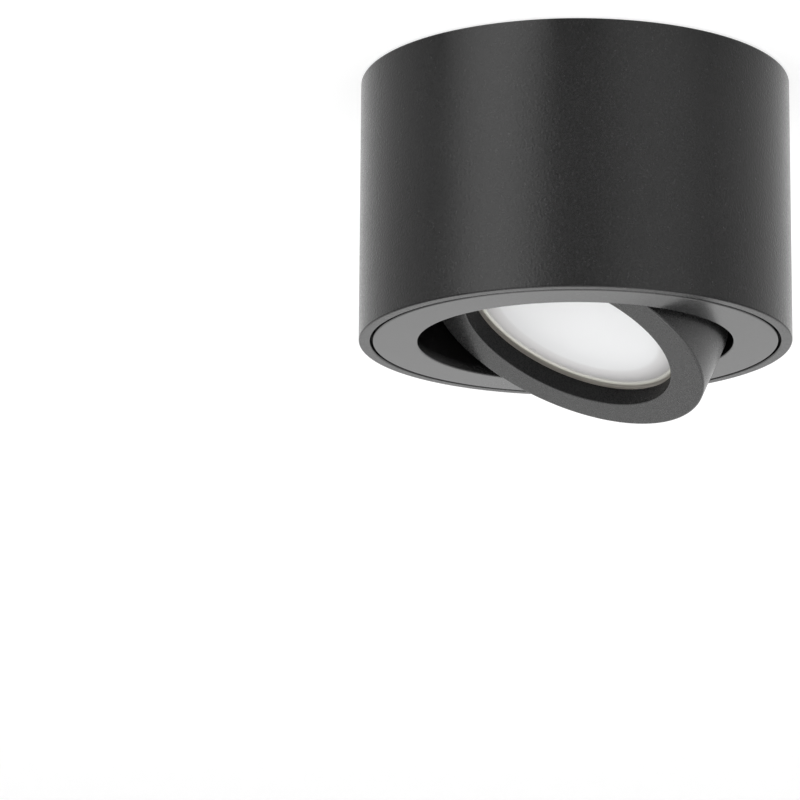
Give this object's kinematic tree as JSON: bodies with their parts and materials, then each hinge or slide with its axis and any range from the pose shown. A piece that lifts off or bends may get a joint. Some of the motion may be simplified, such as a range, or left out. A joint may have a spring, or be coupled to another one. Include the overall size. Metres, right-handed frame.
{
  "type": "surface mounted ceiling spotlight",
  "caption": "Black round surface mounted ceiling spotlight: can, flush front plate that turns by hand, and a tilting ring with an opal light module.",
  "frame": {"origin": "centre of the flat back face that lies on the ceiling", "axes": "+Z into the ceiling, X along the pivot axis of the tilting ring, the tilted beam leans towards +Y"},
  "size_m": [0.09, 0.09, 0.0689],
  "materials": {
    "casing_paint": "fine sand texture black powder coat, slight sparkle",
    "plate_paint": "smooth satin black powder coat",
    "ring_paint": "smooth satin black powder coat",
    "nickel": "bright nickel plate",
    "spring_steel": "bare rolled spring steel",
    "zinc_steel": "bright zinc plate",
    "brass": "bare turned brass",
    "grommet_rubber": "matt black rubber",
    "terminal_plastic": "off-white polyamide",
    "washer_nylon": "black nylon",
    "opal_lens": "opal acrylic, smooth",
    "sink_aluminium": "black anodised cast aluminium",
    "board_white": "white solder mask on aluminium",
    "chip_phosphor": "yellow phosphor in clear resin",
    "driver_green": "green circuit board",
    "capacitor_sleeve": "printed-free dark sleeve on an aluminium can",
    "choke_core": "ferrite drum with a varnished winding",
    "component_black": "moulded epoxy",
    "cap_plastic": "moulded black polycarbonate"
  },
  "bodies": {
    "housing": {"casing": "casing_paint", "cable_grommet": "grommet_rubber", "terminal_block": "terminal_plastic", "terminal_clamps": "brass", "terminal_screws": "zinc_steel", "block_screws": "zinc_steel", "earth_washer": "zinc_steel", "earth_screw": "brass"},
    "insert": {"front_plate": "plate_paint", "grip_spring_1": "spring_steel", "grip_spring_2": "spring_steel", "grip_spring_3": "spring_steel", "grip_rivets": "nickel", "pivot_screws": "zinc_steel", "friction_washers": "washer_nylon"},
    "head": {"tilt_ring": "ring_paint", "lamp_clip_1": "spring_steel", "lamp_clip_2": "spring_steel", "lamp_clip_3": "spring_steel", "clip_rivets": "nickel", "lens": "opal_lens", "led_board": "board_white", "led_chips": "chip_phosphor", "board_screws": "zinc_steel", "heat_sink": "sink_aluminium", "driver_board": "driver_green", "driver_capacitor": "capacitor_sleeve", "driver_choke": "choke_core", "rectifier": "component_black", "rear_cap": "cap_plastic", "cap_screws": "zinc_steel"}
  },
  "joints": [
    {"name": "plate_turn", "type": "hinge", "parent": "housing", "child": "insert", "pos_m": [0, 0, -0.05115], "axis": [0, 0, 1], "range_deg": [-177.5, 177.5]},
    {"name": "head_tilt", "type": "hinge", "parent": "insert", "child": "head", "pos_m": [0, 0, -0.05115], "axis": [1, 0, 0], "range_deg": [-61.4, 8.6]}
  ]
}
